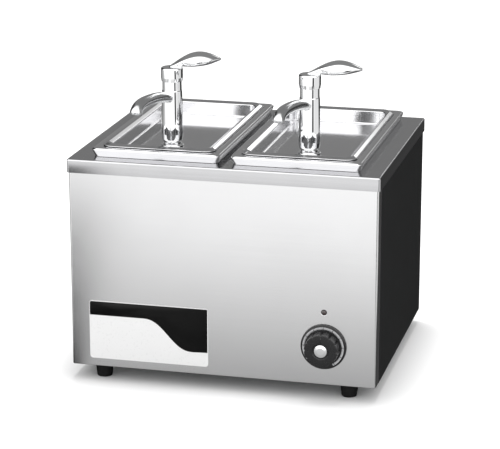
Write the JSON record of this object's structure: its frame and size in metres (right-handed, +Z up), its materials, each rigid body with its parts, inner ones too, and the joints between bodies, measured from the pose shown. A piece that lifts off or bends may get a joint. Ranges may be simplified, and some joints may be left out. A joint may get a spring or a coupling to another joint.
{
  "type": "nacho cheese dispenser",
  "caption": "Countertop heated dispenser: stainless housing, wells with lift-out rectangular pans, recessed lids, chrome hand pumps with swivel spouts, thermostat knob and rubber feet.",
  "frame": {"origin": "middle of the object's footprint box, on the surface that the feet stand on", "axes": "+X to the user's right, +Y from the front panel to the back, +Z up"},
  "size_m": [0.427, 0.3984, 0.4379],
  "materials": {
    "front_steel": "brushed stainless, satin",
    "deck_steel": "polished stainless sheet",
    "pan_steel": "bright stainless",
    "chrome": "polished chrome plate",
    "side_paint": "charcoal enamel, semi-gloss",
    "zinc_sheet": "zinc plate, dull",
    "rubber": "black moulded rubber",
    "black_plastic": "black moulded phenolic",
    "lens": "dark lens, unlit",
    "decal": "printed label in black and white",
    "nylon": "natural nylon",
    "copper": "copper tube"
  },
  "bodies": {
    "housing": {"top_deck": "deck_steel", "front_panel": "front_steel", "left_side_panel": "side_paint", "right_side_panel": "side_paint", "back_panel": "side_paint", "base_pan": "zinc_sheet", "foot_front_left": "rubber", "foot_front_right": "rubber", "foot_back_left": "rubber", "foot_back_right": "rubber", "foot_screw_front_left": "zinc_sheet", "foot_screw_front_right": "zinc_sheet", "foot_screw_back_left": "zinc_sheet", "foot_screw_back_right": "zinc_sheet", "well_liner_left": "pan_steel", "well_liner_right": "pan_steel", "heating_element_left": "zinc_sheet", "heating_element_right": "zinc_sheet", "thermostat_body": "black_plastic", "sensor_bulb": "copper", "pilot_lens": "lens", "pilot_holder": "black_plastic", "terminal_block": "nylon", "decal_plate": "decal", "cord_gland": "rubber", "panel_screw_1": "zinc_sheet", "panel_screw_2": "zinc_sheet", "panel_screw_3": "zinc_sheet", "panel_screw_4": "zinc_sheet"},
    "thermostat_dial": {"thermostat_knob": "black_plastic", "thermostat_shaft": "zinc_sheet", "knob_cap": "chrome"},
    "pan_left": {"pan_left": "pan_steel"},
    "lid_left": {"lid_left": "pan_steel", "lock_collar_left": "chrome", "pump_cylinder_left": "pan_steel", "intake_foot_left": "nylon"},
    "ball_left": {"intake_ball_left": "pan_steel"},
    "pump_head_left": {"pump_body_left": "chrome", "spout_left": "chrome", "set_screw_left": "zinc_sheet"},
    "plunger_left": {"pump_handle_left": "chrome", "plunger_rod_left": "pan_steel", "return_spring_left": "zinc_sheet", "piston_left": "nylon", "piston_seal_left": "rubber"},
    "pan_right": {"pan_right": "pan_steel"},
    "lid_right": {"lid_right": "pan_steel", "lock_collar_right": "chrome", "pump_cylinder_right": "pan_steel", "intake_foot_right": "nylon"},
    "ball_right": {"intake_ball_right": "pan_steel"},
    "pump_head_right": {"pump_body_right": "chrome", "spout_right": "chrome", "set_screw_right": "zinc_sheet"},
    "plunger_right": {"pump_handle_right": "chrome", "plunger_rod_right": "pan_steel", "return_spring_right": "zinc_sheet", "piston_right": "nylon", "piston_seal_right": "rubber"}
  },
  "joints": [
    {"name": "thermostat_turn", "type": "hinge", "parent": "housing", "child": "thermostat_dial", "pos_m": [0.1405, -0.177, 0.0735], "axis": [0, 1, 0], "range_deg": [0, 270]},
    {"name": "pan_lift_left", "type": "slide", "parent": "housing", "child": "pan_left", "axis": [0, 0, 1], "range_m": [0, 0.15]},
    {"name": "lid_lift_left", "type": "slide", "parent": "pan_left", "child": "lid_left", "axis": [0, 0, 1], "range_m": [0, 0.15]},
    {"name": "intake_ball_lift_left", "type": "slide", "parent": "lid_left", "child": "ball_left", "axis": [0, 0, 1], "range_m": [0, 0.0025]},
    {"name": "spout_swivel_left", "type": "hinge", "parent": "lid_left", "child": "pump_head_left", "pos_m": [-0.096, -0.07, 0.32], "axis": [0, 0, 1], "range_deg": [-45, 45]},
    {"name": "plunger_push_left", "type": "slide", "parent": "pump_head_left", "child": "plunger_left", "axis": [0, 0, -1], "range_m": [0, 0.012], "stiffness_N_per_m": 600, "springref_m": -0.014, "deforming": ["return_spring_left"]},
    {"name": "pan_lift_right", "type": "slide", "parent": "housing", "child": "pan_right", "axis": [0, 0, 1], "range_m": [0, 0.15]},
    {"name": "lid_lift_right", "type": "slide", "parent": "pan_right", "child": "lid_right", "axis": [0, 0, 1], "range_m": [0, 0.15]},
    {"name": "intake_ball_lift_right", "type": "slide", "parent": "lid_right", "child": "ball_right", "axis": [0, 0, 1], "range_m": [0, 0.0025]},
    {"name": "spout_swivel_right", "type": "hinge", "parent": "lid_right", "child": "pump_head_right", "pos_m": [0.096, -0.07, 0.32], "axis": [0, 0, 1], "range_deg": [-45, 45]},
    {"name": "plunger_push_right", "type": "slide", "parent": "pump_head_right", "child": "plunger_right", "axis": [0, 0, -1], "range_m": [0, 0.012], "stiffness_N_per_m": 600, "springref_m": -0.014, "deforming": ["return_spring_right"]}
  ]
}
